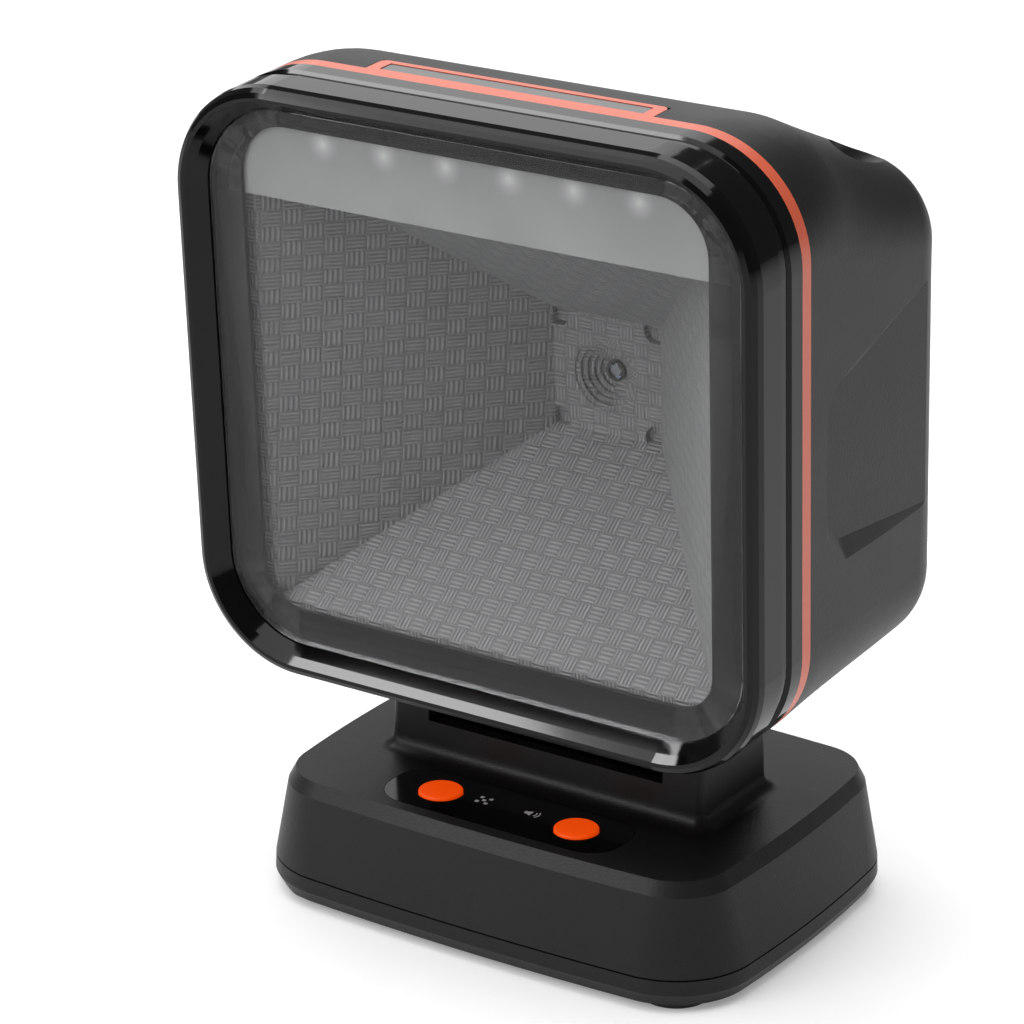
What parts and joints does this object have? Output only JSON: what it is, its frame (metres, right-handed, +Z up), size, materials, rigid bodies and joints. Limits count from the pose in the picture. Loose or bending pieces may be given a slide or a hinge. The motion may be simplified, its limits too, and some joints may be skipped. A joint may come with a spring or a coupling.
{
  "type": "desktop presentation barcode scanner",
  "caption": "Desktop presentation scanner: a square window head that tilts on the short neck of a weighted base with push buttons, for reading codes shown in front of it.",
  "frame": {"origin": "centre of the base on the counter plane, straight below the tilt axis of the head", "axes": "+X to the scanner's own left as it faces a shopper at -Y (to the right for that shopper), +Y towards the back with the cable socket, +Z up"},
  "size_m": [0.1046, 0.0715, 0.1406],
  "materials": {
    "ballast_iron": "blackened",
    "barrel_metal": "black anodised",
    "bezel_gloss": "piano black, high gloss",
    "board_green": "green solder resist",
    "button_orange": "orange, soft matt",
    "cable_rubber": "black, matt",
    "chip_black": "moulded, matt",
    "connector_ivory": "ivory nylon",
    "contact_gold": "gold flash",
    "cradle_zinc": "bright zinc",
    "diffuser_white": "translucent, frosted",
    "flex_amber": "amber film",
    "foot_rubber": "black, matt",
    "frame_plastic": "glass-filled nylon",
    "housing_plastic": "charcoal moulded plastic with a fine spark-eroded grain",
    "indicator_clear": "smoked translucent, satin",
    "label_silver": "blank silver film",
    "led_body": "white ceramic with clear dome",
    "lens_glass": "coated optical glass",
    "mask_black": "black adhesive foam",
    "panel_gloss": "black, high gloss",
    "pin_steel": "ground",
    "plunger_cream": "moulded, satin",
    "screw_steel": "zinc plated",
    "signal_orange": "orange, satin",
    "socket_black": "moulded, satin",
    "speaker_fabric": "coated paper",
    "switch_black": "moulded, satin",
    "tunnel_black": "black, ribbed against stray light",
    "washer_brass": "plain",
    "window_glass": "clear, polished"
  },
  "bodies": {
    "base": {"ballast_plate": "ballast_iron", "ballast_screws": "screw_steel", "base_cover": "housing_plastic", "base_harness": "cable_rubber", "base_screws": "screw_steel", "base_tray": "housing_plastic", "button_ribbon": "flex_amber", "cable_header": "connector_ivory", "cable_socket": "socket_black", "control_panel": "panel_gloss", "cradle_screws": "screw_steel", "friction_washers": "washer_brass", "hinge_cradle": "cradle_zinc", "hinge_pins": "pin_steel", "rating_label": "label_silver", "rubber_feet": "foot_rubber", "socket_board": "board_green", "socket_board_screws": "screw_steel", "socket_contacts": "contact_gold", "switch_board": "board_green", "switch_board_screws": "screw_steel", "switch_bodies": "switch_black"},
    "head": {"front_bezel": "bezel_gloss", "window_glass": "window_glass", "window_mask": "mask_black", "diffuser_panel": "diffuser_white", "light_tunnel": "tunnel_black", "lens_shroud": "tunnel_black", "lens_barrel": "barrel_metal", "camera_lens": "lens_glass", "camera_holder": "tunnel_black", "image_sensor": "chip_black", "camera_board": "board_green", "camera_screws": "screw_steel", "illumination_board": "board_green", "illumination_screws": "screw_steel", "illumination_leds": "led_body", "trim_ring": "signal_orange", "indicator_lens": "indicator_clear", "indicator_light_guide": "indicator_clear", "indicator_leds": "led_body", "indicator_board": "board_green", "rear_housing": "housing_plastic", "housing_screws": "screw_steel", "main_board": "board_green", "main_board_screws": "screw_steel", "decoder_chips": "chip_black", "board_connectors": "connector_ivory", "camera_flex": "flex_amber", "speaker_frame": "tunnel_black", "speaker_cone": "speaker_fabric", "hinge_bracket": "frame_plastic", "bracket_screws": "screw_steel", "head_harness": "cable_rubber"},
    "mode_button": {"mode_button": "button_orange", "mode_plunger": "plunger_cream"},
    "volume_button": {"volume_button": "button_orange", "volume_plunger": "plunger_cream"}
  },
  "joints": [
    {"name": "head_tilt", "type": "hinge", "parent": "base", "child": "head", "pos_m": [0, 0, 0.032], "axis": [1, 0, 0], "range_deg": [-20, 15]},
    {"name": "mode_button_press", "type": "slide", "parent": "base", "child": "mode_button", "axis": [0, 0, -1], "range_m": [0, 0.0005], "stiffness_N_per_m": 1500, "springref_m": -0.0003},
    {"name": "volume_button_press", "type": "slide", "parent": "base", "child": "volume_button", "axis": [0, 0, -1], "range_m": [0, 0.0005], "stiffness_N_per_m": 1500, "springref_m": -0.0003}
  ]
}
